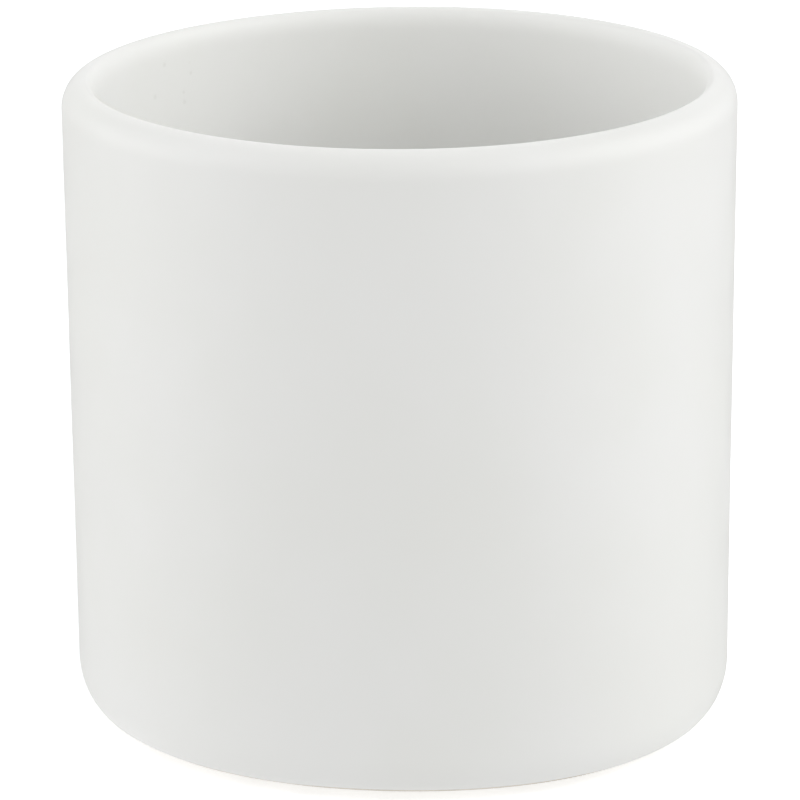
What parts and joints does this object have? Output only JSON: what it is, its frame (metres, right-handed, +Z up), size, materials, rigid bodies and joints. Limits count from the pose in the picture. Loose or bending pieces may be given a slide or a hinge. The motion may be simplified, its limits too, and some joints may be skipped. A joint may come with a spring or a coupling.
{
  "type": "pen holder cup",
  "caption": "Straight-sided round pen cup in white glazed ceramic, with a rounded lip, a rounded bottom edge and low non-slip feet.",
  "frame": {"origin": "on the desk surface, below the middle of the cup", "axes": "+Z up through the mouth along the cup's axis of revolution; the feet stand on the diagonals between X and Y"},
  "size_m": [0.09, 0.09, 0.0868],
  "materials": {
    "white_glaze": "satin white glaze",
    "bumper_elastomer": "matt translucent white"
  },
  "bodies": {
    "root": {"cup_body": "white_glaze", "bumper_foot_1": "bumper_elastomer", "bumper_foot_2": "bumper_elastomer", "bumper_foot_3": "bumper_elastomer", "bumper_foot_4": "bumper_elastomer"}
  },
  "joints": []
}
